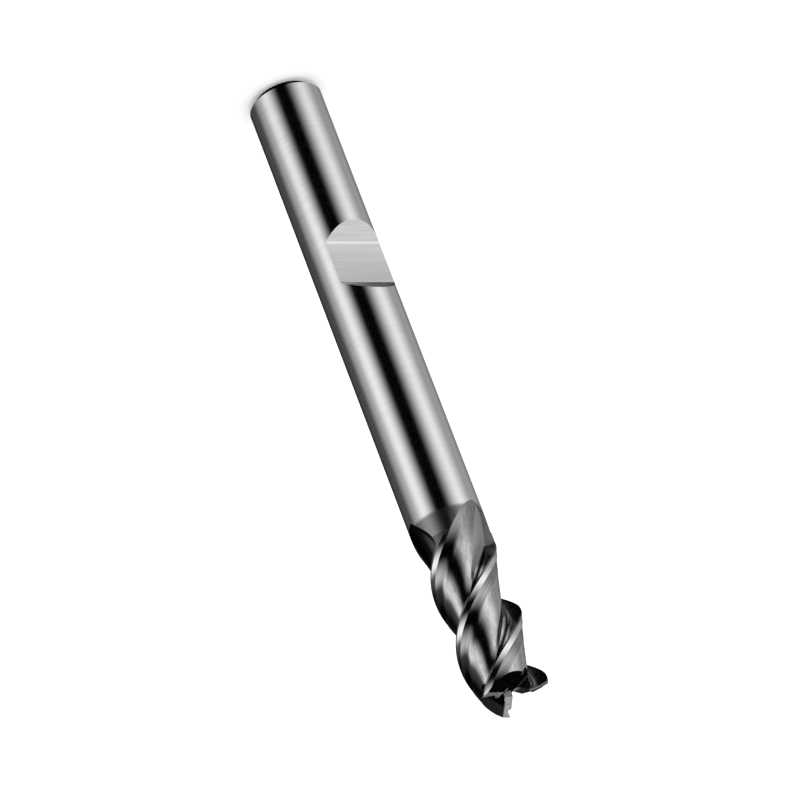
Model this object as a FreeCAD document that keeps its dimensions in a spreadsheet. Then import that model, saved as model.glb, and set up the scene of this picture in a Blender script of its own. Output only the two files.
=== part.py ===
"""A solid end mill, standing on its shank end with the cutting end up. Millimetres, Z up.

The blank is turned, the side-lock flat is milled, and the three helical flutes, their run-outs,
the end reliefs and the gashes are ground, in the order that the real tool is made in.
"""

import FreeCAD
import Part
import Sketcher
import math
import os

from FreeCAD import Vector

# Driving dimensions

SIZES = {
    "overall_length": 57.0,
    "shank_diameter": 6.0,
    "shank_chamfer": 0.6,
    "cutter_diameter": 6.0,
    "cutter_length": 14.0,
    "neck_diameter": 5.9,
    "neck_length": 1.9,
    "flat_centre": 17.4,
    "flat_length": 3.9,
    "flat_depth": 1.35,
    "flat_wall_angle": 45.0,
    "helix_angle": 46.0,
    "long_tooth_angle": 114.0,
    "rake_angle": 12.0,
    "rake_depth": 0.95,
    "flute_depth": 1.35,
    "root_angle": 16.0,
    "root_fullness": 0.3,
    "back_low_depth": 1.1,
    "back_low_angle": 35.0,
    "back_high_depth": 0.8,
    "back_high_angle": 60.0,
    "heel_depth": 0.45,
    "heel_angle": 36.0,
    "margin_angle": 15.0,
    "margin_fall": 0.15,
    "edge_land_angle": 1.5,
    "runout_length": 5.9,
    "runout_narrowing": 3.4,
    "runout_sweep": 103.5,
    "runout_width": 14.0,
    "runout_overlap": 2.5,
    "dish_angle": 2.5,
    "primary_width": 0.62,
    "primary_angle": 7.0,
    "secondary_angle": 30.0,
    "long_tooth_reach": 0.16,
    "gash_angle": 22.0,
    "gash_wall_angle": 38.0,
    "gash_depth": 1.3,
    "gash_radius": 0.5,
}

TEETH = 3
PITCH = 360.0 / TEETH

# Cutters reach this far past what they cut, a flute's section this far past the ground surface, and
# its last, lifted section this far past the bar

CLEAR = 1.0
SKIN = 0.05
LIFT_CLEAR = 0.1

# The flute's sections stand this many degrees of twist apart, and these powers shape its run-out:
# the wheel lifts along an arc, and its track turns aside a little slower

SECTION_TURN = 15.0
LIFT_POWER = 2.0
SWEEP_POWER = 1.3

doc = FreeCAD.newDocument("end_mill")
sheet = doc.addObject("Spreadsheet::Sheet", "sizes")
for row, (alias, value) in enumerate(SIZES.items(), start=1):
    sheet.set(f"A{row}", alias)
    sheet.set(f"B{row}", str(value))
    sheet.setAlias(f"B{row}", alias)
doc.recompute()


def size(alias):
    """The value that the sheet holds under this alias."""
    return float(sheet.get(alias))


def cell(alias):
    """The name by which an expression reads this alias."""
    return f"sizes.{alias}"


def tangent(angle):
    return math.tan(math.radians(angle))


def polar(radius, angle, height=0.0):
    """The point at this radius and angle, in degrees, about the tool's axis."""
    turn = math.radians(angle)
    return Vector(radius * math.cos(turn), radius * math.sin(turn), height)


# Sketches

def origin_plane(body, role):
    return next(plane for plane in body.Origin.OriginFeatures if plane.Role == role)


def outline(body, name, role, corners):
    """A closed sketch of straight lines on one of the body's origin planes.

    Each corner is a pair of starting coordinates and a pair of expressions. A coordinate without
    an expression lies on the sketch's own axis.
    """
    sketch = body.newObject("Sketcher::SketchObject", name)
    sketch.AttachmentSupport = (origin_plane(body, role), [""])
    sketch.MapMode = "FlatFace"
    spots = [Vector(x, y, 0.0) for (x, y), _ in corners]
    count = len(spots)
    for index, spot in enumerate(spots):
        sketch.addGeometry(Part.LineSegment(spot, spots[(index + 1) % count]), False)
    for index in range(count):
        sketch.addConstraint(Sketcher.Constraint("Coincident", index, 2, (index + 1) % count, 1))
    for index, ((x, y), expressions) in enumerate(corners):
        for kind, axis, start, expression in zip(("DistanceX", "DistanceY"), (-2, -1), (x, y), expressions):
            if expression is None:
                sketch.addConstraint(Sketcher.Constraint("PointOnObject", index, 1, axis))
                continue
            place = sketch.addConstraint(Sketcher.Constraint(kind, -1, 1, index, 1, start))
            sketch.setExpression(f"Constraints[{place}]", expression)
    return sketch


# The turned blank, with a neck that tapers to the step where the cutting diameter begins

blank = doc.addObject("PartDesign::Body", "blank")
length = size("overall_length")
shank_radius = size("shank_diameter") / 2
cutter_radius = size("cutter_diameter") / 2
neck_radius = size("neck_diameter") / 2
chamfer = size("shank_chamfer")
step_height = length - size("cutter_length")
neck_height = step_height - size("neck_length")

shank_text = f"{cell('shank_diameter')} / 2"
cutter_text = f"{cell('cutter_diameter')} / 2"
neck_text = f"{cell('neck_diameter')} / 2"
chamfer_text = cell("shank_chamfer")
length_text = cell("overall_length")
step_text = f"{length_text} - {cell('cutter_length')}"
neck_height_text = f"{step_text} - {cell('neck_length')}"

blank_outline = outline(blank, "blank_outline", "XZ_Plane", [
    ((0.0, 0.0), (None, None)),
    ((shank_radius - chamfer, 0.0), (f"{shank_text} - {chamfer_text}", None)),
    ((shank_radius, chamfer), (shank_text, chamfer_text)),
    ((shank_radius, neck_height), (shank_text, neck_height_text)),
    ((neck_radius, step_height), (neck_text, step_text)),
    ((cutter_radius, step_height), (cutter_text, step_text)),
    ((cutter_radius, length), (cutter_text, length_text)),
    ((0.0, length), (None, length_text)),
])
turning = blank.newObject("PartDesign::Revolution", "turning")
turning.Profile = blank_outline
turning.ReferenceAxis = (blank_outline, ["V_Axis"])
turning.Angle = 360.0
doc.recompute()
turned_volume = turning.Shape.Volume

# The side-lock flat, facing -Y

flat_level = shank_radius - size("flat_depth")
wall_run = 1.0 / tangent(size("flat_wall_angle"))
outer_level = shank_radius + CLEAR
flat_low = size("flat_centre") - size("flat_length") / 2
flat_high = size("flat_centre") + size("flat_length") / 2
spread = (outer_level - flat_level) * wall_run

level_text = f"-({shank_text} - {cell('flat_depth')})"
outer_text = f"-({shank_text} + {CLEAR})"
low_text = f"{cell('flat_centre')} - {cell('flat_length')} / 2"
high_text = f"{cell('flat_centre')} + {cell('flat_length')} / 2"
spread_text = f"({cell('flat_depth')} + {CLEAR}) / tan({cell('flat_wall_angle')} * 1 deg)"

flat_outline = outline(blank, "flat_outline", "YZ_Plane", [
    ((-flat_level, flat_low), (level_text, low_text)),
    ((-flat_level, flat_high), (level_text, high_text)),
    ((-outer_level, flat_high + spread), (outer_text, f"{high_text} + {spread_text}")),
    ((-outer_level, flat_low - spread), (outer_text, f"{low_text} - {spread_text}")),
])
side_flat = blank.newObject("PartDesign::Pocket", "side_flat")
side_flat.Profile = flat_outline
side_flat.Midplane = True
side_flat.Type = "Length"
side_flat.setExpression("Length", f"{cell('shank_diameter')} + {2 * CLEAR}")
blank.Tip = side_flat
doc.recompute()
if side_flat.Shape.Volume >= turned_volume:
    raise RuntimeError("the side-lock flat removed nothing")

# The flutes

lead = math.pi * size("cutter_diameter") / tangent(size("helix_angle"))


def twist(height):
    """The angle of the long tooth's cutting edge at this height, a right-hand helix."""
    return size("long_tooth_angle") + 360.0 * (height - length) / lead


def flute_points():
    """The flute's section between one cutting edge, at angle 0, and the next, at one pitch.

    Radius and angle of the rake face's ends, the pole that rounds the root, the root, two points
    of the convex back, the heel, and both ends of the relieved margin behind the next edge.
    """
    lean = math.radians(size("rake_angle"))
    tip_x = cutter_radius + SKIN * math.cos(lean)
    tip_y = SKIN * math.sin(lean)
    foot_x = cutter_radius - size("rake_depth") * math.cos(lean)
    foot_y = -size("rake_depth") * math.sin(lean)
    core = cutter_radius - size("flute_depth")
    root_x = core * math.cos(math.radians(size("root_angle")))
    root_y = core * math.sin(math.radians(size("root_angle")))
    pole_x = foot_x - size("root_fullness") * math.cos(lean)
    pole_y = foot_y - size("root_fullness") * math.sin(lean)
    flats = ((tip_x, tip_y), (foot_x, foot_y), (pole_x, pole_y), (root_x, root_y))
    points = [(math.hypot(x, y), math.degrees(math.atan2(y, x))) for x, y in flats]
    points.append((cutter_radius - size("back_low_depth"), size("back_low_angle")))
    points.append((cutter_radius - size("back_high_depth"), size("back_high_angle")))
    points.append((cutter_radius - size("heel_depth"), PITCH - size("heel_angle")))
    points.append((cutter_radius - size("margin_fall"), PITCH - size("margin_angle")))
    points.append((cutter_radius + SKIN, PITCH - size("edge_land_angle")))
    return points


exit_height = step_height - size("runout_overlap")
largest_radius = max(cutter_radius, shank_radius)


def share_left(height, stretch):
    """How much of this stretch above the flute's exit lies over the height, from 0 to 1."""
    return min(max((exit_height + stretch - height) / stretch, 0.0), 1.0)


def back_stations():
    """Curve parameters for the convex back, root to heel, so that every section's curve matches."""
    _, _, _, *back, _, _ = [polar(radius, angle) for radius, angle in flute_points()]
    stations = [0.0]
    for spot, following in zip(back, back[1:]):
        stations.append(stations[-1] + spot.distanceToPoint(following))
    return stations


def flute_section(height):
    """The flute's closed section at this height, shallower and narrower towards its run-out."""
    rise = share_left(height, size("runout_length")) ** LIFT_POWER
    sweep = share_left(height, size("runout_narrowing")) ** SWEEP_POWER
    outside = largest_radius + LIFT_CLEAR
    width = PITCH - size("margin_angle")
    moved = []
    for radius, angle in flute_points():
        last = size("runout_sweep") + size("runout_width") * angle / width
        moved.append((radius + (outside - radius) * rise, angle + (last - angle) * sweep))
    turn = twist(height)
    spots = [polar(radius, angle + turn, height) for radius, angle in moved]
    tip, foot, pole, root, back_low, back_high, heel, margin, land = spots
    rim = largest_radius + CLEAR
    first = moved[0][1]
    final = moved[-1][1]
    rim_first = polar(rim, first + turn, height)
    rim_middle = polar(rim, (first + final) / 2 + turn, height)
    rim_last = polar(rim, final + turn, height)
    root_curve = Part.BezierCurve()
    root_curve.setPoles([foot, pole, root])
    back_curve = Part.BSplineCurve()
    back_curve.interpolate(Points=[root, back_low, back_high, heel], Parameters=back_stations())
    edges = [
        Part.LineSegment(rim_first, tip).toShape(),
        Part.LineSegment(tip, foot).toShape(),
        root_curve.toShape(),
        back_curve.toShape(),
        Part.LineSegment(heel, margin).toShape(),
        Part.LineSegment(margin, land).toShape(),
        Part.LineSegment(land, rim_last).toShape(),
        Part.LineSegment(rim_last, rim_middle).toShape(),
        Part.LineSegment(rim_middle, rim_first).toShape(),
    ]
    return Part.Wire(edges)


def flute_solid():
    """The space that the grinding wheel sweeps, skinned over its sections."""
    section_step = lead * SECTION_TURN / 360.0
    bottom = exit_height - section_step / 2
    top = length + CLEAR
    count = math.ceil((top - bottom) / section_step)
    heights = [bottom + (top - bottom) * index / count for index in range(count + 1)]
    return Part.makeLoft([flute_section(height) for height in heights], True, False)


def feature(name, shape):
    item = doc.addObject("Part::Feature", name)
    item.Shape = shape
    return item


def turned(shape, angle):
    copy = shape.copy()
    copy.rotate(Vector(0.0, 0.0, 0.0), Vector(0.0, 0.0, 1.0), angle)
    return copy


swept = flute_solid()
flutes = doc.addObject("Part::Compound", "flutes")
flutes.Links = [feature(f"flute_{tooth + 1}", turned(swept, PITCH * tooth)) for tooth in range(TEETH)]

# The end teeth

reach = cutter_radius + CLEAR
whole_width = 2 * reach


def end_height(x, y):
    """Height of the primary relief at a point of the tooth's own frame, edge along +X."""
    return length - (cutter_radius - x) * tangent(size("dish_angle")) + y * tangent(size("primary_angle"))


def prism(corners):
    """A prism standing on the flat polygon of these corners, up past the end."""
    ring = Part.makePolygon([*corners, corners[0]])
    return Part.Face(ring).extrude(Vector(0.0, 0.0, reach))


def primary_relief(inner):
    """What is ground off above the narrow land behind an end edge."""
    width = size("primary_width")
    spots = ((inner, 0.0), (reach, 0.0), (reach, -width), (inner, -width))
    return prism([Vector(x, y, end_height(x, y)) for x, y in spots])


def secondary_relief():
    """What is ground off behind the primary land, up to the face of the tooth behind."""
    width = size("primary_width")
    slant = 1.0 / tangent(PITCH / 2)
    fall = tangent(size("secondary_angle"))
    spots = ((-width * slant, -width), (reach, -width), (reach, -reach), (-reach * slant, -reach))
    return prism([Vector(x, y, end_height(x, -width) + (y + width) * fall) for x, y in spots])


def gash():
    """The groove ground in front of an end edge: an upright wall, a round root, a sloping wall."""
    fall = tangent(size("gash_angle"))
    slope = tangent(size("gash_wall_angle"))
    radius = size("gash_radius")
    start = -reach
    apex = length - size("gash_depth") - start * fall
    stretch = math.hypot(1.0, slope)
    centre_y = radius
    centre_z = apex + slope * radius + radius * stretch
    touch_y = centre_y + radius * slope / stretch
    touch_z = centre_z - radius / stretch
    middle = Vector(0.0, touch_y - centre_y - radius, touch_z - centre_z)
    middle.normalize()
    top = apex + whole_width
    wall = Vector(start, 0.0, centre_z)
    bottom = Vector(start, centre_y + radius * middle.y, centre_z + radius * middle.z)
    touch = Vector(start, touch_y, touch_z)
    far = Vector(start, reach, apex + slope * reach)
    edges = [
        Part.LineSegment(Vector(start, 0.0, top), wall).toShape(),
        Part.Arc(wall, bottom, touch).toShape(),
        Part.LineSegment(touch, far).toShape(),
        Part.LineSegment(far, Vector(start, reach, top)).toShape(),
        Part.LineSegment(Vector(start, reach, top), Vector(start, 0.0, top)).toShape(),
    ]
    return Part.Face(Part.Wire(edges)).extrude(Vector(whole_width, 0.0, -whole_width * fall))


long_angle = size("long_tooth_angle")
long_reach = size("long_tooth_reach")
kept_land = Part.makeBox(
    reach + long_reach,
    size("primary_width"),
    whole_width,
    Vector(-long_reach, -size("primary_width"), length - reach),
)
kept_land = turned(kept_land, long_angle)
ground_off = []
for tooth in range(TEETH):
    angle = long_angle + PITCH * tooth
    is_long = tooth == 0
    groove = turned(gash(), angle)
    if not is_long:
        groove = groove.cut(kept_land)
    land = primary_relief(-long_reach if is_long else 0.0)
    ground_off.append(feature(f"gash_{tooth + 1}", groove))
    ground_off.append(feature(f"primary_{tooth + 1}", turned(land, angle)))
    ground_off.append(feature(f"secondary_{tooth + 1}", turned(secondary_relief(), angle)))

end_grinding = doc.addObject("Part::MultiFuse", "end_grinding")
end_grinding.Shapes = ground_off

# The finished tool

fluted = doc.addObject("Part::Cut", "fluted")
fluted.Base = blank
fluted.Tool = flutes
end_mill = doc.addObject("Part::Cut", "end_mill")
end_mill.Base = fluted
end_mill.Tool = end_grinding
doc.recompute()

for item in doc.Objects:
    if "Invalid" in item.State or "Error" in item.State:
        raise RuntimeError(f"{item.Label} failed: {item.State}")
shape = end_mill.Shape
if shape.isNull() or not shape.isValid() or len(shape.Solids) != 1:
    raise RuntimeError("end_mill is not one valid solid")
os.makedirs("parts", exist_ok=True)
shape.exportStep(f"parts/{end_mill.Label}.step")
print(end_mill.Label, "volume", round(shape.Volume, 2), "faces", len(shape.Faces))
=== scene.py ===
"""A ground steel end mill standing on its shank end, in a plain light studio.

The tool is modelled in millimetres, in the order that it is made in: the turned blank, the
side-lock flat, the three helical flutes and the end teeth. Its mesh is then put in metres.
"""

import math

import bpy
import numpy as np
from mathutils import Matrix, Vector


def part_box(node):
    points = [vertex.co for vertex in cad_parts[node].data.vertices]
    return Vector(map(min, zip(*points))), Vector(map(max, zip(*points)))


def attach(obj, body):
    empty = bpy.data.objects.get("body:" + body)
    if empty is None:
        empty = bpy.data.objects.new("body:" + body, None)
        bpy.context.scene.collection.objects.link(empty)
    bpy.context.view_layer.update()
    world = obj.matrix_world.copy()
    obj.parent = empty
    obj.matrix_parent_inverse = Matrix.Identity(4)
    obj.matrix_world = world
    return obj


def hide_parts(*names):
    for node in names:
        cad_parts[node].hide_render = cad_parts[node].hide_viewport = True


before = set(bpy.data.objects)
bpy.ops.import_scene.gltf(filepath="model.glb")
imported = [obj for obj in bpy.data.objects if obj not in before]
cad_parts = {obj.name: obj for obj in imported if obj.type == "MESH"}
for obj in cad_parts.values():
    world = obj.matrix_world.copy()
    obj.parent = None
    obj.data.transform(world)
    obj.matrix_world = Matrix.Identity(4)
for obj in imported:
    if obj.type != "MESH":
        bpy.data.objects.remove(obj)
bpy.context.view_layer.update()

METRE = 1000.0

# Sizes of the tool, in millimetres and degrees

lowest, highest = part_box("end_mill")
LENGTH = (highest[2] - lowest[2]) * METRE
SHANK_RADIUS = (highest[0] - lowest[0]) / 2 * METRE
CHAMFER = 0.6
CUTTER_RADIUS = 3.0
CUTTER_LENGTH = 14.0
NECK_RADIUS = 2.95
NECK_LENGTH = 1.9

FLAT_CENTRE = 17.4
FLAT_LENGTH = 3.9
FLAT_DEPTH = 1.35
FLAT_ROUND = 0.24
ROUND_POINTS = 8

HELIX_ANGLE = 46.0
LONG_TOOTH_ANGLE = 114.0
RAKE_ANGLE = 12.0
RAKE_DEPTH = 0.95
FLUTE_DEPTH = 1.35
ROOT_ANGLE = 16.0
ROOT_FULLNESS = 0.3

# Two places on the back: depth under the cutting diameter, and angle past the cutting edge

BACK_LOW = (1.1, 35.0)
BACK_HIGH = (0.8, 60.0)

# The heel's and the margin's angles are taken back from the next cutting edge

HEEL_DEPTH = 0.45
HEEL_ANGLE = 36.0
MARGIN_ANGLE = 15.0
MARGIN_FALL = 0.15
EDGE_LAND_ANGLE = 1.5

# Above its exit a flute deepens over the run-out's length, and opens over the narrowing's length
# from a width at the sweep's angle past the cutting edge. The exit lies an overlap below the step

RUNOUT_LENGTH = 5.9
RUNOUT_NARROWING = 3.4
RUNOUT_SWEEP = 103.5
RUNOUT_WIDTH = 14.0
RUNOUT_OVERLAP = 2.5
LIFT_POWER = 2.0
SWEEP_POWER = 1.3

DISH_ANGLE = 2.5
PRIMARY_WIDTH = 0.62
PRIMARY_ANGLE = 7.0
SECONDARY_ANGLE = 30.0
LONG_TOOTH_REACH = 0.16
GASH_ANGLE = 22.0
GASH_WALL_ANGLE = 38.0
GASH_DEPTH = 1.3
GASH_RADIUS = 0.5

TEETH = 3
PITCH = 360.0 / TEETH
STEP_HEIGHT = LENGTH - CUTTER_LENGTH
NECK_HEIGHT = STEP_HEIGHT - NECK_LENGTH
LEAD = 2 * math.pi * CUTTER_RADIUS / math.tan(math.radians(HELIX_ANGLE))
EXIT_HEIGHT = STEP_HEIGHT - RUNOUT_OVERLAP

# Cutters reach this far past what they cut. A flute's section reaches a skin's depth past the
# surface, and where the flute has run out, its points are lifted clear of the shank

CLEAR = 1.0
SKIN = 0.05
LIFT_CLEAR = 0.1
REACH = CUTTER_RADIUS + CLEAR

# Fineness of the meshes: points round the tool, the flute's sections, and points in each stretch
# of a section

ROUND_STEPS = 288
FLUTE_STEP = 0.11
RAKE_POINTS = 10
ROOT_POINTS = 22
BACK_POINTS = 34
HEEL_POINTS = 10
MARGIN_POINTS = 8
RIM_POINTS = 8
GASH_POINTS = 24
CREASE_ANGLE = 13.0

# The heel's corner is rounded over this many points to each side, in this many passes

HEEL_ROUND = 6
HEEL_PASSES = 12

# The back's corners among those of the flute's section

BACK_CORNERS = slice(3, 7)


def tangent(angle):
    return math.tan(math.radians(angle))


# Meshes

def mesh_object(name, points, faces, material, index=None):
    """A mesh object with one material, or with a list of them and each face's place in it."""
    mesh = bpy.data.meshes.new(name)
    mesh.from_pydata(points, [], faces)
    materials = material if isinstance(material, list) else [material]
    for item in materials:
        mesh.materials.append(item)
    if index is not None:
        mesh.polygons.foreach_set("material_index", index)
    piece = bpy.data.objects.new(name, mesh)
    bpy.context.scene.collection.objects.link(piece)
    return piece


def ring_faces(rows, columns):
    """Four-sided faces between closed rings of points, then the first and the last ring's cap."""
    row = np.arange(rows - 1)[:, None] * columns
    column = np.arange(columns)[None, :]
    following = (column + 1) % columns
    corners = [row + column, row + following, row + columns + following, row + columns + column]
    faces = np.stack(np.broadcast_arrays(*corners), axis=-1).reshape(-1, 4).tolist()
    faces.append(list(range(columns - 1, -1, -1)))
    faces.append(list(range((rows - 1) * columns, rows * columns)))
    return faces


def turned(points, angle):
    """The same points, turned about the tool's axis by an angle in degrees."""
    turn = math.radians(angle)
    x = points[..., 0] * math.cos(turn) - points[..., 1] * math.sin(turn)
    y = points[..., 0] * math.sin(turn) + points[..., 1] * math.cos(turn)
    return np.stack([x, y, points[..., 2]], axis=-1)


def cut(piece, tool):
    """Takes a closed tool out of a closed piece. A cut face keeps the finish of its cutter."""
    change = piece.modifiers.new(tool.name, "BOOLEAN")
    change.object = tool
    change.operation = "DIFFERENCE"
    change.solver = "MANIFOLD"
    change.material_mode = "TRANSFER"
    seen = piece.evaluated_get(bpy.context.evaluated_depsgraph_get())
    mesh = bpy.data.meshes.new_from_object(seen)
    piece.modifiers.clear()
    worn = piece.data
    piece.data = mesh
    bpy.data.meshes.remove(worn)
    discard(tool)


def discard(tool):
    mesh = tool.data
    bpy.data.objects.remove(tool)
    bpy.data.meshes.remove(mesh)


# The turned blank and the side-lock flat

def turned_blank(finish):
    """A profile of radius and height, carried once round the tool's axis."""
    profile = [
        (SHANK_RADIUS - CHAMFER, 0.0),
        (SHANK_RADIUS, CHAMFER),
        (SHANK_RADIUS, NECK_HEIGHT),
        (NECK_RADIUS, STEP_HEIGHT),
        (CUTTER_RADIUS, STEP_HEIGHT),
        (CUTTER_RADIUS, LENGTH),
    ]
    radius, height = np.array(profile).T
    angle = np.linspace(0.0, 2 * math.pi, ROUND_STEPS, endpoint=False)
    x = radius[:, None] * np.cos(angle)
    y = radius[:, None] * np.sin(angle)
    z = np.broadcast_to(height[:, None], x.shape)
    points = np.stack([x, y, z], axis=-1).reshape(-1, 3)
    return mesh_object("end_mill_ground", points, ring_faces(len(profile), ROUND_STEPS), finish)


def flat_cutter(finishes):
    """A bar across the shank, whose section is the side-lock flat's, with 45 degree ends.

    The milling cutter's own corner leaves a small round at the foot of each sloping wall.
    """
    level = -(SHANK_RADIUS - FLAT_DEPTH)
    outer = -(SHANK_RADIUS + CLEAR)
    half = FLAT_LENGTH / 2
    spread = level - outer
    corner = math.pi / 4
    centre_z = half - FLAT_ROUND * math.tan(corner / 2)
    turn = np.linspace(0.0, corner, ROUND_POINTS)
    round_y = level - FLAT_ROUND * (1.0 - np.cos(turn))
    round_z = centre_z + FLAT_ROUND * np.sin(turn)
    high = [*zip(round_y, round_z), (outer, half + spread)]
    low = [(y, -z) for y, z in reversed(high)]
    section = [(y, z + FLAT_CENTRE) for y, z in low + high]
    points = [(side * REACH, y, z) for side in (-1, 1) for y, z in section]
    curved = [1] * (ROUND_POINTS - 1)
    index = [0, *curved, 0, *curved, 0, 0, 0, 0]
    return mesh_object("flat_cutter", points, ring_faces(2, len(section)), finishes, index)


# The flutes

def twist(height):
    """Angle of the long tooth's cutting edge at a height, in degrees: a right-hand helix."""
    return LONG_TOOTH_ANGLE + 360.0 * (height - LENGTH) / LEAD


def spot(radius, angle):
    turn = math.radians(angle)
    return np.array([radius * math.cos(turn), radius * math.sin(turn)])


def flute_corners():
    """The corners of the flute's section where it is whole, with the cutting edge at angle 0."""
    lean = spot(1.0, RAKE_ANGLE)
    edge = np.array([CUTTER_RADIUS, 0.0])
    return np.array([
        edge + SKIN * lean,
        edge - RAKE_DEPTH * lean,
        edge - (RAKE_DEPTH + ROOT_FULLNESS) * lean,
        spot(CUTTER_RADIUS - FLUTE_DEPTH, ROOT_ANGLE),
        spot(CUTTER_RADIUS - BACK_LOW[0], BACK_LOW[1]),
        spot(CUTTER_RADIUS - BACK_HIGH[0], BACK_HIGH[1]),
        spot(CUTTER_RADIUS - HEEL_DEPTH, PITCH - HEEL_ANGLE),
        spot(CUTTER_RADIUS - MARGIN_FALL, PITCH - MARGIN_ANGLE),
        spot(CUTTER_RADIUS + SKIN, PITCH - EDGE_LAND_ANGLE),
    ])


def line(start, end, share):
    return start + (end - start) * share


def round_root(foot, pole, root, share):
    """A second-degree Bezier curve, tangent to the rake face at its foot."""
    return line(line(foot, pole, share), line(pole, root, share), share)


def smooth_back(knots, stations, share):
    """The natural cubic spline through four points at the given stations."""
    gaps = np.diff(stations)
    system = np.array([
        [2 * (gaps[0] + gaps[1]), gaps[1]],
        [gaps[1], 2 * (gaps[1] + gaps[2])],
    ])
    slopes = [(knots[i + 1] - knots[i]) / gaps[i] for i in range(3)]
    right = np.stack([6 * (slopes[1] - slopes[0]), 6 * (slopes[2] - slopes[1])])
    bend = np.tensordot(np.linalg.inv(system), right, axes=1)
    bends = [np.zeros_like(knots[0]), bend[0], bend[1], np.zeros_like(knots[0])]
    place = share * stations[-1]
    span = np.clip(np.searchsorted(stations, place, side="right") - 1, 0, 2)
    curve = np.zeros(np.broadcast_shapes(knots[0].shape, place.shape))
    for i in range(3):
        after = place - stations[i]
        before = stations[i + 1] - place
        value = (bends[i] * before ** 3 + bends[i + 1] * after ** 3) / (6 * gaps[i])
        value = value + (knots[i] / gaps[i] - bends[i] * gaps[i] / 6) * before
        value = value + (knots[i + 1] / gaps[i] - bends[i + 1] * gaps[i] / 6) * after
        curve = np.where(span == i, value, curve)
    return curve


def share_left(height, stretch):
    """How much of this stretch above the flute's exit lies over the height, from 0 to 1."""
    return np.clip((EXIT_HEIGHT + stretch - height) / stretch, 0.0, 1.0)


def round_heel(ring):
    """Rounds each section's corner between the back and the heel, by averaging neighbours."""
    corner = RAKE_POINTS + ROOT_POINTS + BACK_POINTS
    worn = slice(corner - HEEL_ROUND, corner + HEEL_ROUND)
    before = slice(worn.start - 1, worn.stop - 1)
    after = slice(worn.start + 1, worn.stop + 1)
    for _ in range(HEEL_PASSES):
        ring[:, worn] = (ring[:, before] + 2 * ring[:, worn] + ring[:, after]) / 4


def flute_cutter(tooth, finishes):
    """The flute's section carried up its helix.

    A section is a ring of points at one height, clockwise, so its faces are turned over. Towards
    the run-out each corner's radius rises past the surface with the square of the height, and its
    angle moves to the run-out's place.
    """
    count = math.ceil((LENGTH + CLEAR - EXIT_HEIGHT) / FLUTE_STEP)
    height = np.linspace(EXIT_HEIGHT, LENGTH + CLEAR, count)[:, None]
    corners = flute_corners()
    radius = np.hypot(corners[:, 0], corners[:, 1])
    angle = np.degrees(np.arctan2(corners[:, 1], corners[:, 0]))
    lift = share_left(height, RUNOUT_LENGTH) ** LIFT_POWER
    sweep = share_left(height, RUNOUT_NARROWING) ** SWEEP_POWER
    place = RUNOUT_SWEEP + RUNOUT_WIDTH * angle / (PITCH - MARGIN_ANGLE)
    outside = max(SHANK_RADIUS, CUTTER_RADIUS) + LIFT_CLEAR
    moved_radius = radius + (outside - radius) * lift
    moved_angle = angle + (place - angle) * sweep
    turn = np.radians(moved_angle + twist(height) + PITCH * tooth)
    spots = np.stack([moved_radius * np.cos(turn), moved_radius * np.sin(turn)], axis=-1)
    tip, foot, pole, root, low, high, heel, margin, land = spots.transpose(1, 0, 2)[:, :, None, :]
    back = [root, low, high, heel]
    steady = corners[BACK_CORNERS]
    stations = np.concatenate([[0.0], np.cumsum(np.linalg.norm(np.diff(steady, axis=0), axis=1))])
    rim_radius = outside + CLEAR
    middle = (turn[:, 0] + turn[:, -1]) / 2
    rim_middle = rim_radius * np.stack([np.cos(middle), np.sin(middle)], axis=-1)[:, None, :]
    rim_first = tip / np.linalg.norm(tip, axis=-1, keepdims=True) * rim_radius
    rim_last = land / np.linalg.norm(land, axis=-1, keepdims=True) * rim_radius

    def shares(steps):
        return np.linspace(0.0, 1.0, steps, endpoint=False)[None, :, None]

    stretches = [
        ("rake", line(tip, foot, shares(RAKE_POINTS))),
        ("back", round_root(foot, pole, root, shares(ROOT_POINTS))),
        ("back", smooth_back(back, stations, shares(BACK_POINTS))),
        ("heel", line(heel, margin, shares(HEEL_POINTS))),
        ("margin", line(margin, land, shares(MARGIN_POINTS))),
        ("margin", line(land, rim_last, shares(1))),
        ("margin", line(rim_last, rim_middle, shares(RIM_POINTS))),
        ("margin", line(rim_middle, rim_first, shares(RIM_POINTS))),
        ("rake", line(rim_first, tip, shares(1))),
    ]
    ring = np.concatenate([stretch for _, stretch in stretches], axis=1)
    columns = ring.shape[1]
    round_heel(ring)
    levels = np.broadcast_to(height, (count, columns))
    points = np.concatenate([ring, levels[..., None]], axis=-1).reshape(-1, 3)
    names = list(finishes)
    column_finish = np.concatenate([np.full(s.shape[1], names.index(name)) for name, s in stretches])
    index = np.concatenate([np.tile(column_finish, count - 1), [0, 0]])
    name = f"flute_cutter_{tooth + 1}"
    faces = [face[::-1] for face in ring_faces(count, columns)]
    return mesh_object(name, points, faces, list(finishes.values()), index)


# The end teeth

def end_height(x, y):
    """Height of the primary relief at a point of the tooth's own frame, edge along +X."""
    return LENGTH - (CUTTER_RADIUS - x) * tangent(DISH_ANGLE) + y * tangent(PRIMARY_ANGLE)


def upright_prism(name, corners, angle, finish):
    """A prism from a sloping floor up past the tool's end, over the outline of these corners."""
    floor = np.array(corners)
    roof = floor.copy()
    roof[:, 2] = LENGTH + REACH
    points = turned(np.concatenate([floor, roof]), angle)
    return mesh_object(name, points, ring_faces(2, len(corners)), finish)


def primary_relief(angle, inner, finish):
    """What is ground off above the narrow land behind an end edge."""
    outline = [(inner, -PRIMARY_WIDTH), (REACH, -PRIMARY_WIDTH), (REACH, 0.0), (inner, 0.0)]
    corners = [(x, y, end_height(x, y)) for x, y in outline]
    return upright_prism("primary_relief", corners, angle, finish)


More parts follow.
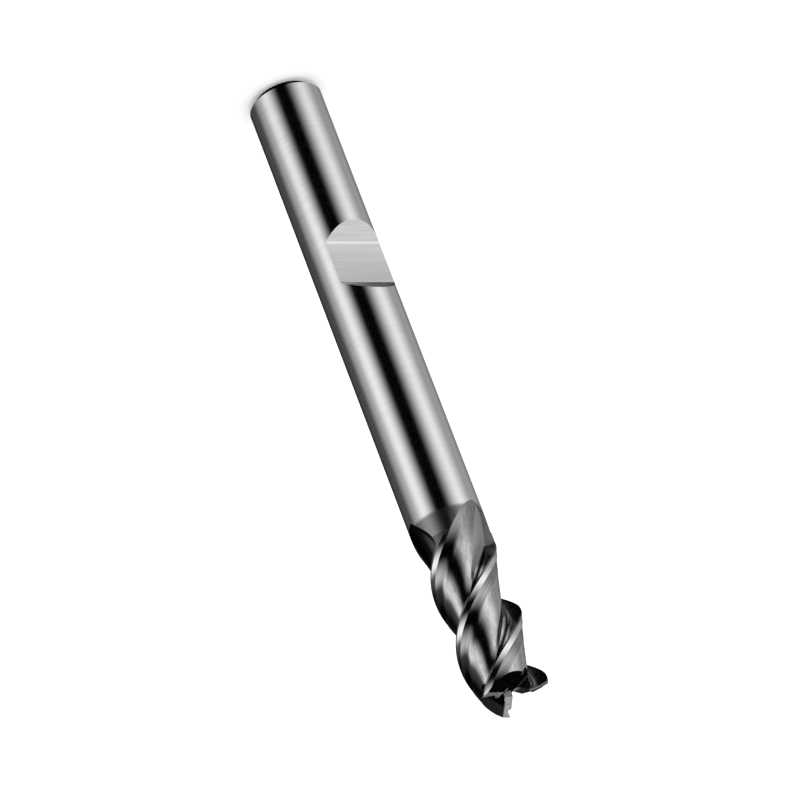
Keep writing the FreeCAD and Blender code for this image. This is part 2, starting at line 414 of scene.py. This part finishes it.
def secondary_relief(angle, finish):
    """What is ground off behind the primary land, up to the face of the tooth behind."""
    slant = 1.0 / tangent(PITCH / 2)
    outline = [
        (-REACH * slant, -REACH),
        (REACH, -REACH),
        (REACH, -PRIMARY_WIDTH),
        (-PRIMARY_WIDTH * slant, -PRIMARY_WIDTH),
    ]
    fall = tangent(SECONDARY_ANGLE)
    corners = [(x, y, end_height(x, -PRIMARY_WIDTH) + (y + PRIMARY_WIDTH) * fall) for x, y in outline]
    return upright_prism("secondary_relief", corners, angle, finish)


def gash(angle, finish):
    """The groove in front of an end edge: an upright wall, a round root and a sloping wall.

    Its section lies across the tooth, and is carried outwards and down along the edge.
    """
    fall = tangent(GASH_ANGLE)
    slope = tangent(GASH_WALL_ANGLE)
    apex = LENGTH - GASH_DEPTH + REACH * fall
    stretch = math.hypot(1.0, slope)
    centre_y = GASH_RADIUS
    centre_z = apex + slope * GASH_RADIUS + GASH_RADIUS * stretch
    first = math.pi
    last = 1.5 * math.pi + math.atan(slope)
    turn = np.linspace(first, last, GASH_POINTS)
    root_y = centre_y + GASH_RADIUS * np.cos(turn)
    root_z = centre_z + GASH_RADIUS * np.sin(turn)
    root = np.stack([root_y, root_z], axis=-1)
    top = apex + 2 * REACH
    section = np.concatenate([[[0.0, top]], root, [[REACH, apex + slope * REACH], [REACH, top]]])
    run = 2 * REACH
    ends = []
    for along in (0.0, run):
        x = np.full(len(section), along - REACH)
        ends.append(np.column_stack([x, section[:, 0], section[:, 1] - along * fall]))
    points = turned(np.concatenate(ends), angle)
    return mesh_object("gash", points, ring_faces(2, len(section)), finish)


def kept_land(finish):
    """The long tooth's land past the centre, which the other teeth's gashes leave standing."""
    inner = -LONG_TOOTH_REACH
    outline = [(inner, -PRIMARY_WIDTH), (REACH, -PRIMARY_WIDTH), (REACH, 0.0), (inner, 0.0)]
    corners = [(x, y, LENGTH - REACH) for x, y in outline]
    return upright_prism("kept_land", corners, LONG_TOOTH_ANGLE, finish)


def end_mill(finishes):
    tool = turned_blank(finishes["shank"])
    cut(tool, flat_cutter([finishes["flat"], finishes["flat_round"]]))
    flute_finishes = {name: finishes[name] for name in ("rake", "back", "heel", "margin")}
    for tooth in range(TEETH):
        cut(tool, flute_cutter(tooth, flute_finishes))
    for tooth in range(TEETH):
        angle = LONG_TOOTH_ANGLE + PITCH * tooth
        is_long = tooth == 0
        groove = gash(angle, finishes["gash"])
        if not is_long:
            cut(groove, kept_land(finishes["gash"]))
        cut(tool, groove)
        cut(tool, primary_relief(angle, -LONG_TOOTH_REACH if is_long else 0.0, finishes["relief"]))
        cut(tool, secondary_relief(angle, finishes["relief"]))
    mesh = tool.data
    mesh.transform(Matrix.Scale(1 / METRE, 4))
    mesh.polygons.foreach_set("use_smooth", np.ones(len(mesh.polygons), dtype=bool))
    mesh.set_sharp_from_angle(angle=math.radians(CREASE_ANGLE))
    mesh.update()
    return tool


# Finishes. The lines are noise, of which the middle part is drawn out to the whole range. Broad
# lines are this much coarser than fine ones, and fine ones have this share in the sum of both

NOISE_DETAIL = 3.0
NOISE_ROUGHNESS = 0.6
NOISE_RANGE = (0.3, 0.7)
BROAD_SCALE = 0.27
FINE_SHARE = 0.55


class Nodes:
    """Short calls that add nodes to a tree and join them."""

    def __init__(self, tree):
        self.tree = tree

    def add(self, kind, **settings):
        node = self.tree.nodes.new(kind)
        for name, value in settings.items():
            setattr(node, name, value)
        return node

    def join(self, source, target):
        self.tree.links.new(source, target)

    def feed(self, socket, value):
        """Sets a socket to a plain value, or joins another socket to it."""
        if isinstance(value, bpy.types.NodeSocket):
            self.join(value, socket)
        else:
            socket.default_value = value

    def math(self, operation, *values):
        node = self.add("ShaderNodeMath", operation=operation)
        for place, value in enumerate(values):
            self.feed(node.inputs[place], value)
        return node.outputs[0]

    def parts(self, vector):
        """The X, Y and Z of a vector."""
        node = self.add("ShaderNodeSeparateXYZ")
        self.join(vector, node.inputs["Vector"])
        return node.outputs

    def group(self, tree, vector):
        node = self.add("ShaderNodeGroup", node_tree=tree)
        self.join(vector, node.inputs["Vector"])
        return node

    def bearing(self, parts):
        """The angle about the tool's axis, in degrees."""
        return self.math("DEGREES", self.math("ARCTAN2", parts["Y"], parts["X"]))

    def angle_past(self, angle, start):
        """How far an angle is past another, from -180 to 180 degrees."""
        return self.math("WRAP", self.math("SUBTRACT", angle, start), 180.0, -180.0)

    def ramp(self, value, low, high, start, end, shape="SMOOTHSTEP"):
        """A value between two bounds, carried to between two others."""
        node = self.add("ShaderNodeMapRange", interpolation_type=shape)
        numbers = {"Value": value, "From Min": low, "From Max": high, "To Min": start, "To Max": end}
        for name, number in numbers.items():
            self.feed(node.inputs[name], number)
        return node.outputs["Result"]

    def noise(self, vector):
        node = self.add("ShaderNodeTexNoise")
        self.feed(node.inputs["Vector"], vector)
        self.feed(node.inputs["Scale"], 1.0)
        self.feed(node.inputs["Detail"], NOISE_DETAIL)
        self.feed(node.inputs["Roughness"], NOISE_ROUGHNESS)
        return node.outputs["Fac"]


def node_group(name, inputs, outputs):
    """An empty shader node group with these named sockets, and its two end nodes."""
    tree = bpy.data.node_groups.new(name, "ShaderNodeTree")
    for label, kind in inputs:
        tree.interface.new_socket(label, in_out="INPUT", socket_type=kind)
    for label, kind in outputs:
        tree.interface.new_socket(label, in_out="OUTPUT", socket_type=kind)
    n = Nodes(tree)
    return n, n.add("NodeGroupInput"), n.add("NodeGroupOutput")


def helix_space_group():
    """Turns each point back by the helix's twist at its height, so flute lines stand upright."""
    n, given, result = node_group(
        "helix_space",
        [("Vector", "NodeSocketVector")],
        [("Vector", "NodeSocketVector")],
    )
    parts = n.parts(given.outputs["Vector"])
    turn = n.add("ShaderNodeVectorRotate", rotation_type="Z_AXIS")
    n.join(given.outputs["Vector"], turn.inputs["Vector"])
    n.join(n.math("MULTIPLY", parts["Z"], -2 * math.pi * METRE / LEAD), turn.inputs["Angle"])
    n.join(turn.outputs["Vector"], result.inputs["Vector"])
    return n.tree


def grinding_lines_group():
    """Fine lines that a wheel leaves: noise drawn out along one axis of its space.

    Density is the number of cells in a metre along each axis. Fine and Broad are lines of two
    widths, from 0 to 1.
    """
    n, given, result = node_group(
        "grinding_lines",
        [("Vector", "NodeSocketVector"), ("Density", "NodeSocketVector")],
        [("Fine", "NodeSocketFloat"), ("Broad", "NodeSocketFloat")],
    )
    fine = n.add("ShaderNodeVectorMath", operation="MULTIPLY")
    n.join(given.outputs["Vector"], fine.inputs[0])
    n.join(given.outputs["Density"], fine.inputs[1])
    broad = n.add("ShaderNodeVectorMath", operation="SCALE")
    n.join(fine.outputs["Vector"], broad.inputs[0])
    broad.inputs["Scale"].default_value = BROAD_SCALE
    for label, vector in (("Fine", fine), ("Broad", broad)):
        lines = n.ramp(n.noise(vector.outputs["Vector"]), *NOISE_RANGE, 0.0, 1.0, "LINEAR")
        n.join(lines, result.inputs[label])
    return n.tree


HELIX_SPACE = helix_space_group()
GRINDING_LINES = grinding_lines_group()


def height_mask_group():
    """1 past the dull and shaded height, 0 past the bright height, and a soft change between them."""
    n, given, result = node_group(
        "height_mask",
        [
            ("Vector", "NodeSocketVector"),
            ("Bright", "NodeSocketFloat"),
            ("Dull and Shaded", "NodeSocketFloat"),
        ],
        [("Mask", "NodeSocketFloat")],
    )
    parts = n.parts(given.outputs["Vector"])
    mask = n.ramp(parts["Z"], given.outputs["Bright"], given.outputs["Dull and Shaded"], 0.0, 1.0)
    n.join(mask, result.inputs["Mask"])
    return n.tree


# Angles past the first cutting edge are in degrees, and heights in millimetres. A border of the
# facet is its angle where the cutting diameter begins, and its slant in degrees to the millimetre

FIRST_EDGE = LONG_TOOTH_ANGLE - 360.0 * LENGTH / LEAD
FACET_FIRST = (-14.0, 9.0)
FACET_LAST = (60.0, -11.5)
# Painted shade: where the black wedge starts, and its heights
SHADOW_WEDGE_START = -30.0
SHADOW_WEDGE_HEIGHTS = (45.8, 46.6)
FACET_SOFT = 5.0
FACET_FADE = 0.7
# Painted shade in the second flute's run-out: its middle angle, half width and heights
SHADE_MIDDLE = 185.0
SHADE_HALF = 52.0
SHADE_HEIGHTS = (43.5, 44.2)


def runout_masks_group():
    """Masks low in the flutes, in the helix's space, where an angle past a cutting edge stays.

    Facet is 1 on the matt facet that the wheel leaves in the first flute: it lies below the top
    height, between two slanting borders. Shade is 1 where shade is painted: on the black wedge
    beside it, at the foot of the next rake face, and in the run-out of the second flute, which is
    painted darker than the others.
    """
    n, given, result = node_group(
        "runout_masks",
        [("Vector", "NodeSocketVector"), ("Top", "NodeSocketFloat")],
        [("Facet", "NodeSocketFloat"), ("Shade", "NodeSocketFloat")],
    )
    parts = n.parts(given.outputs["Vector"])
    height = n.math("MULTIPLY", parts["Z"], METRE)
    past_edge = n.angle_past(n.bearing(parts), FIRST_EDGE)
    over_step = n.math("SUBTRACT", height, STEP_HEIGHT)
    last = n.math("ADD", n.math("MULTIPLY", over_step, FACET_LAST[1]), FACET_LAST[0])
    first = n.math("ADD", n.math("MULTIPLY", over_step, FACET_FIRST[1]), FACET_FIRST[0])
    before_last = n.ramp(n.math("SUBTRACT", past_edge, last), -FACET_SOFT, FACET_SOFT, 1.0, 0.0)
    past_first = n.ramp(n.math("SUBTRACT", past_edge, first), 0.0, FACET_SOFT, 0.0, 1.0)
    top = given.outputs["Top"]
    low = n.ramp(height, top, n.math("ADD", top, FACET_FADE), 1.0, 0.0)
    between = n.math("MULTIPLY", before_last, past_first)
    n.join(n.math("MULTIPLY", between, low), result.inputs["Facet"])
    in_shadow_wedge = n.ramp(past_edge, SHADOW_WEDGE_START - FACET_SOFT, SHADOW_WEDGE_START, 0.0, 1.0)
    wedge = n.math("MULTIPLY", in_shadow_wedge, n.math("SUBTRACT", 1.0, past_first))
    low_shadow_wedge = n.ramp(height, SHADOW_WEDGE_HEIGHTS[0], SHADOW_WEDGE_HEIGHTS[1], 1.0, 0.0)
    wedge = n.math("MULTIPLY", wedge, low_shadow_wedge)
    off_middle = n.math("ABSOLUTE", n.angle_past(past_edge, SHADE_MIDDLE))
    near = n.ramp(off_middle, SHADE_HALF - FACET_SOFT, SHADE_HALF + FACET_SOFT, 1.0, 0.0)
    under = n.ramp(height, SHADE_HEIGHTS[0], SHADE_HEIGHTS[1], 1.0, 0.0)
    shade = n.math("MAXIMUM", wedge, n.math("MULTIPLY", near, under))
    n.join(shade, result.inputs["Shade"])
    return n.tree


HEIGHT_MASK = height_mask_group()
RUNOUT_MASKS = runout_masks_group()


def ground_steel(name, density, tone, roughness, relief, helical=False, heights=(), facet_top=None):
    """Bare steel, cut or ground: density lays its lines, and tone and roughness are each a pair.

    The first of a pair is found where the lines' noise is low, and the second where it is high.
    Relief is the lines' depth in millimetres. Helical lines follow the flutes. Each of the
    heights is a bright height, a dull and shaded height, and the tone's factor and the roughness
    past it: the factor paints shade into the tone, except on the neck and the low margins, which
    are darker and rougher. Facet top is the top height of the matt facet in the first flute's
    run-out, and with it come the painted shade of the black wedge and of the second run-out.
    """
    material = bpy.data.materials.new(name)
    material.use_nodes = True
    n = Nodes(material.node_tree)
    shader = material.node_tree.nodes["Principled BSDF"]
    place = n.add("ShaderNodeTexCoord").outputs["Object"]
    if helical or facet_top:
        unwound = n.group(HELIX_SPACE, place).outputs["Vector"]
    lines = n.group(GRINDING_LINES, unwound if helical else place)
    lines.inputs["Density"].default_value = density
    fine = n.math("MULTIPLY", lines.outputs["Fine"], FINE_SHARE)
    broad = n.math("MULTIPLY", lines.outputs["Broad"], 1.0 - FINE_SHARE)
    both = n.math("ADD", fine, broad)
    value = n.ramp(both, 0.0, 1.0, tone[0], tone[1], "LINEAR")
    rough = n.ramp(both, 0.0, 1.0, roughness[0], roughness[1], "LINEAR")
    masks = []
    # Each height mask darkens the tone and sets the roughness; most of these masks paint shade
    for bright, dull, factor, dull_roughness in heights:
        mask = n.group(HEIGHT_MASK, place)
        mask.inputs["Bright"].default_value = bright / METRE
        mask.inputs["Dull and Shaded"].default_value = dull / METRE
        masks.append((mask.outputs["Mask"], n.math("MULTIPLY", value, factor), dull_roughness))
    if facet_top:
        mask = n.group(RUNOUT_MASKS, unwound)
        mask.inputs["Top"].default_value = facet_top
        # Painted shade: on the black wedge and in the second run-out the tone falls to the shade's
        # factor
        shaded = n.math("MULTIPLY", value, SHADE_FACTOR)
        masks.append((mask.outputs["Shade"], shaded, roughness[0]))
        masks.append((mask.outputs["Facet"], *FACET_LOOK))
    for share, masked_value, masked_roughness in masks:
        value = n.ramp(share, 0.0, 1.0, value, masked_value, "LINEAR")
        rough = n.ramp(share, 0.0, 1.0, rough, masked_roughness, "LINEAR")
    colour = n.add("ShaderNodeCombineColor")
    n.join(value, colour.inputs["Red"])
    n.join(n.math("MULTIPLY", value, WARMTH[0]), colour.inputs["Green"])
    n.join(n.math("MULTIPLY", value, WARMTH[1]), colour.inputs["Blue"])
    n.join(colour.outputs["Color"], shader.inputs["Base Color"])
    n.join(rough, shader.inputs["Roughness"])
    bump = n.add("ShaderNodeBump")
    bump.inputs["Strength"].default_value = 1.0
    bump.inputs["Distance"].default_value = relief / METRE
    n.join(both, bump.inputs["Height"])
    n.join(bump.outputs["Normal"], shader.inputs["Normal"])
    shader.inputs["Metallic"].default_value = 1.0
    return material


# The steel's green and blue, as shares of its red

WARMTH = (0.995, 0.985)

# Lines to the metre along each axis. Across a line they stand close, and along it far apart

ROUND_LINES = (300.0, 300.0, 9000.0)
FLAT_LINES = (160.0, 9000.0, 9000.0)
FLUTE_LINES = (9000.0, 9000.0, 420.0)
BACK_LINES = (6500.0, 6500.0, 1100.0)
FACET_LINES = (5200.0, 2300.0, 2300.0)

# Where the tone is darkened: on the neck and low on the margins the steel is darker and rougher,
# and painted shade darkens the cutting diameter above the step and the run-outs' backs and heels

DULL_NECK = (NECK_HEIGHT - 0.15, NECK_HEIGHT + 0.25, 0.38, 0.27)
# Painted shadow: the shank's finish is darkened above the step, a dark line along the step and on the
# thin strips of the cutting diameter
PAINTED_STEP_SHADOW = (STEP_HEIGHT - 0.02, STEP_HEIGHT + 0.02, 0.22, 0.3)
# Painted shade: the back's tone is lowered low in the run-outs
PAINTED_RUNOUT_SHADE = (45.0, 43.2, 0.6, 0.16)
DULL_LAND = (43.8, 42.8, 0.4, 0.3)
# Painted shade: the heel's tone is lowered low in the run-outs
PAINTED_HEEL_SHADE = (45.0, 43.2, 0.8, 0.16)

# The facet's tone and roughness, the painted shade's factor, and the facet's top on the rake and the
# back

FACET_LOOK = (0.78, 0.8)
SHADE_FACTOR = 0.1
RAKE_FACET_TOP = 43.5
BACK_FACET_TOP = 46.8

finishes = {
    "shank": ground_steel(
        "ground_shank", ROUND_LINES, (0.9, 0.84), (0.1, 0.16), 0.00004,
        heights=[DULL_NECK, PAINTED_STEP_SHADOW],
    ),
    "flat": ground_steel("milled_flat", FLAT_LINES, (0.95, 0.76), (0.26, 0.36), 0.0012),
    "flat_round": ground_steel("milled_round", FLAT_LINES, (0.98, 0.95), (0.2, 0.3), 0.0002),
    # The rake's tone is kept low throughout: painted shade on the same ground steel
    "rake": ground_steel(
        "ground_rake_painted_shade", FLUTE_LINES, (0.35, 0.2), (0.14, 0.24), 0.0002,
        helical=True, facet_top=RAKE_FACET_TOP,
    ),
    "back": ground_steel(
        "ground_back", BACK_LINES, (0.9, 0.46), (0.1, 0.2), 0.0006,
        heights=[PAINTED_RUNOUT_SHADE], facet_top=BACK_FACET_TOP,
    ),
    # The heel's tone is lowered throughout: painted shade on the same ground steel
    "heel": ground_steel(
        "ground_heel_painted_shade", FLUTE_LINES, (0.58, 0.34), (0.1, 0.16), 0.0004,
        helical=True, heights=[PAINTED_HEEL_SHADE], facet_top=RAKE_FACET_TOP,
    ),
    "margin": ground_steel(
        "ground_margin", FLUTE_LINES, (1.0, 0.94), (0.12, 0.18), 0.0002,
        helical=True, heights=[DULL_LAND],
    ),
    "gash": ground_steel("ground_gash", FACET_LINES, (0.5, 0.3), (0.12, 0.2), 0.0002),
    "relief": ground_steel("ground_relief", FACET_LINES, (0.72, 0.24), (0.1, 0.18), 0.0003),
}

tool = end_mill(finishes)
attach(tool, "root")
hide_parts("end_mill")

# The studio: a pale floor, and soft light boxes that only the steel mirrors

FLOOR_SIZE = 4.0
FLOOR_TONE = 0.9
FLOOR_ROUGHNESS = 0.9


def floor():
    half = FLOOR_SIZE / 2
    points = [(-half, -half, 0.0), (half, -half, 0.0), (half, half, 0.0), (-half, half, 0.0)]
    material = bpy.data.materials.new("pale_floor")
    material.use_nodes = True
    shader = material.node_tree.nodes["Principled BSDF"]
    shader.inputs["Base Color"].default_value = (FLOOR_TONE, FLOOR_TONE, FLOOR_TONE, 1.0)
    shader.inputs["Roughness"].default_value = FLOOR_ROUGHNESS
    shader.inputs["Specular IOR Level"].default_value = 0.0
    piece = mesh_object("floor", points, [(0, 1, 2, 3)], material)
    piece.visible_glossy = False
    return piece


floor()

# The camera, looking at the middle of the tool

CAMERA_AZIMUTH = 37.59
CAMERA_ELEVATION = 28.52
CAMERA_ROLL = 159.043
CAMERA_DISTANCE = 0.505
CAMERA_AIM = Vector((0.00002, -0.00015, 0.02949))
LENS = 291.853
SENSOR_WIDTH = 36.0
NEAREST_SEEN = 0.01

# The soft lights that the steel mirrors. Each has the azimuth of its bright middle about the tool,
# its strength there, how far it fades clockwise and counterclockwise of it, and the elevations of
# its foot and its top. All but the strength are in degrees. The surround is the dark room's light,
# and pale is the light that the floor and the camera see

LIGHTS = {
    "key": (0.0, 0.95, 44.0, 28.0, -35.0, 30.0),
    "key_tail": (20.0, 0.07, 20.0, 50.0, -35.0, 30.0),
    "key_foot": (25.0, 0.36, 25.0, 36.0, -35.0, -17.0),
    "broad": (-120.0, 0.9, 50.0, 52.0, -35.0, 52.0),
    "spill": (-175.0, 0.36, 62.0, 45.0, -35.0, 16.0),
    "fill": (70.0, 0.07, 60.0, 60.0, -35.0, -20.0),
    "high": (-140.0, 0.26, 40.0, 40.0, 30.0, 60.0),
    "rear": (120.0, 0.65, 29.0, 30.0, 15.0, 50.0),
    "behind": (135.0, 0.5, 24.0, 20.0, -35.0, 10.0),
    "ground": (-30.0, 0.75, 115.0, 85.0, -96.0, -55.0),
    "under": (-175.0, 0.16, 40.0, 40.0, -96.0, -48.0),
}
SOFT_EDGE = 5.0
SURROUND = 0.001
PALE = 1.5


def studio_light():
    """The world: plain pale light, and for the steel's mirror image a dark room with soft boxes."""
    world = bpy.data.worlds.new("studio")
    bpy.context.scene.world = world
    world.use_nodes = True
    world.cycles.sampling_method = "NONE"
    world.node_tree.nodes.clear()
    n = Nodes(world.node_tree)
    direction = n.add("ShaderNodeTexCoord").outputs["Generated"]
    parts = n.parts(direction)
    azimuth = n.bearing(parts)
    elevation = n.math("DEGREES", n.math("ARCSINE", parts["Z"]))
    mirrored = SURROUND
    for centre, strength, clockwise, counterclockwise, foot, top in LIGHTS.values():
        away = n.angle_past(azimuth, centre)
        forward = n.math("DIVIDE", away, counterclockwise)
        backward = n.math("DIVIDE", away, -clockwise)
        share = n.math("MAXIMUM", forward, backward)
        across = n.ramp(share, 0.0, 1.0, strength, 0.0)
        over_foot = n.ramp(elevation, foot - SOFT_EDGE, foot + SOFT_EDGE, 0.0, 1.0)
        under_top = n.ramp(elevation, top - SOFT_EDGE, top + SOFT_EDGE, 1.0, 0.0)
        light = n.math("MULTIPLY", across, n.math("MULTIPLY", over_foot, under_top))
        mirrored = n.math("ADD", mirrored, light)
    path = n.add("ShaderNodeLightPath")
    choice = n.add("ShaderNodeMix", data_type="FLOAT")
    pale_rays = n.math("MAXIMUM", path.outputs["Is Camera Ray"], path.outputs["Is Diffuse Ray"])
    n.join(pale_rays, choice.inputs["Factor"])
    n.join(mirrored, choice.inputs["A"])
    choice.inputs["B"].default_value = PALE
    background = n.add("ShaderNodeBackground")
    n.join(choice.outputs["Result"], background.inputs["Color"])
    output = n.add("ShaderNodeOutputWorld")
    n.join(background.outputs["Background"], output.inputs["Surface"])


def photo_camera():
    data = bpy.data.cameras.new("photo_camera")
    data.sensor_width = SENSOR_WIDTH
    data.lens = LENS
    data.clip_start = NEAREST_SEEN
    camera = bpy.data.objects.new("photo_camera", data)
    bpy.context.scene.collection.objects.link(camera)
    spin = Matrix.Rotation(math.radians(CAMERA_AZIMUTH), 4, "Z")
    tilt = Matrix.Rotation(math.radians(90.0 - CAMERA_ELEVATION), 4, "X")
    roll = Matrix.Rotation(math.radians(CAMERA_ROLL), 4, "Z")
    turn = spin @ tilt @ roll
    place = CAMERA_AIM + turn @ Vector((0.0, 0.0, CAMERA_DISTANCE))
    camera.matrix_world = Matrix.Translation(place) @ turn
    bpy.context.scene.camera = camera


studio_light()
photo_camera()
bpy.context.scene.view_settings.view_transform = "Standard"
